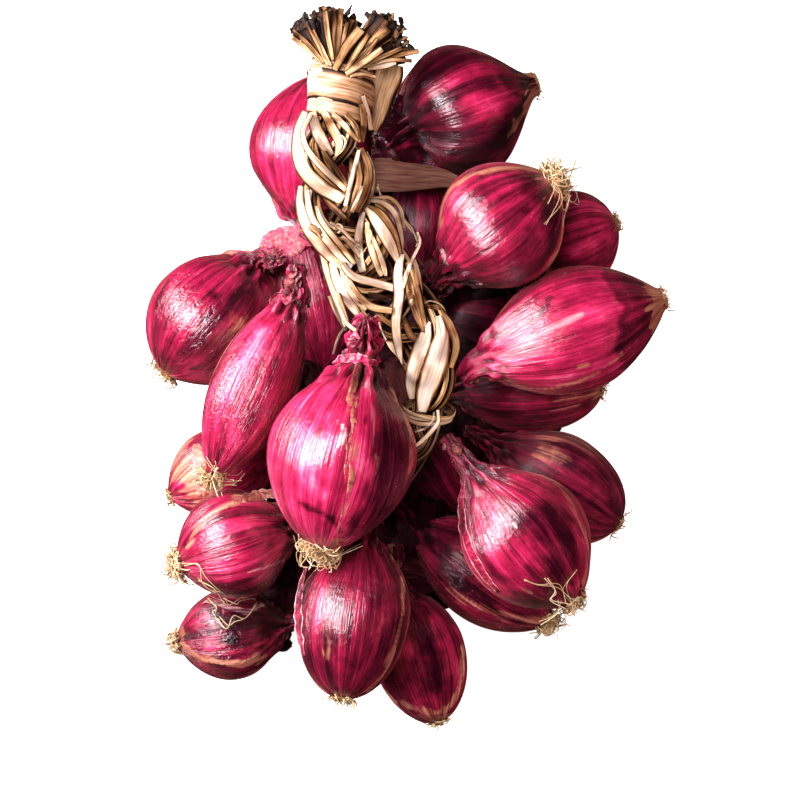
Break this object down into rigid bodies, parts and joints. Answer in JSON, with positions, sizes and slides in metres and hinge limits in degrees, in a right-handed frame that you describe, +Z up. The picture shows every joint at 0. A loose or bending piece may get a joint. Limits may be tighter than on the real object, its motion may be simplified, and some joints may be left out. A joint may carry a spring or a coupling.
{
  "type": "string of red onions",
  "caption": "Dried red onions held together by a plait of their own leaves, tied off below the cut leaf ends, lying on its back.",
  "frame": {"origin": "the point on the surface under the middle of the string's outline", "axes": "+Y along the plait towards the cut leaf ends, +Z up from the surface the string lies on, +X to the right seen from above with +Y ahead"},
  "size_m": [0.2116, 0.2882, 0.0955],
  "materials": {
    "onion_skin": "glossy dry papery skin, striped from pole to pole",
    "root_fibre": "matt dried fibre",
    "dried_leaf": "matt dried straw",
    "tie_leaf": "satin dried leaf",
    "cut_leaf": "matt dried leaf, cut across"
  },
  "bodies": {
    "root": {"bulb_back_lower": "onion_skin", "bulb_back_middle": "onion_skin", "bulb_bottom_front": "onion_skin", "bulb_bottom_left": "onion_skin", "bulb_bottom_right": "onion_skin", "bulb_centre_right": "onion_skin", "bulb_front_middle": "onion_skin", "bulb_front_right": "onion_skin", "bulb_inner_right": "onion_skin", "bulb_left_inner": "onion_skin", "bulb_left_long": "onion_skin", "bulb_left_lower": "onion_skin", "bulb_left_under": "onion_skin", "bulb_left_upper": "onion_skin", "bulb_right_behind": "onion_skin", "bulb_right_long": "onion_skin", "bulb_right_lower": "onion_skin", "bulb_right_under": "onion_skin", "bulb_right_upper": "onion_skin", "bulb_top_left": "onion_skin", "bulb_top_right": "onion_skin", "bulb_under_plait": "onion_skin", "bulb_under_right": "onion_skin", "cut_ends_left": "cut_leaf", "cut_ends_right": "cut_leaf", "loose_leaf": "dried_leaf", "plait_binding": "tie_leaf", "plait_strand_a": "dried_leaf", "plait_strand_b": "dried_leaf", "plait_strand_c": "dried_leaf", "roots_back_lower": "root_fibre", "roots_back_middle": "root_fibre", "roots_bottom_front": "root_fibre", "roots_bottom_left": "root_fibre", "roots_bottom_right": "root_fibre", "roots_centre_right": "root_fibre", "roots_front_middle": "root_fibre", "roots_front_right": "root_fibre", "roots_inner_right": "root_fibre", "roots_left_inner": "root_fibre", "roots_left_long": "root_fibre", "roots_left_lower": "root_fibre", "roots_left_under": "root_fibre", "roots_left_upper": "root_fibre", "roots_right_behind": "root_fibre", "roots_right_long": "root_fibre", "roots_right_lower": "root_fibre", "roots_right_under": "root_fibre", "roots_right_upper": "root_fibre", "roots_top_left": "root_fibre", "roots_top_right": "root_fibre", "roots_under_plait": "root_fibre", "roots_under_right": "root_fibre", "tie_band": "tie_leaf"}
  },
  "joints": []
}
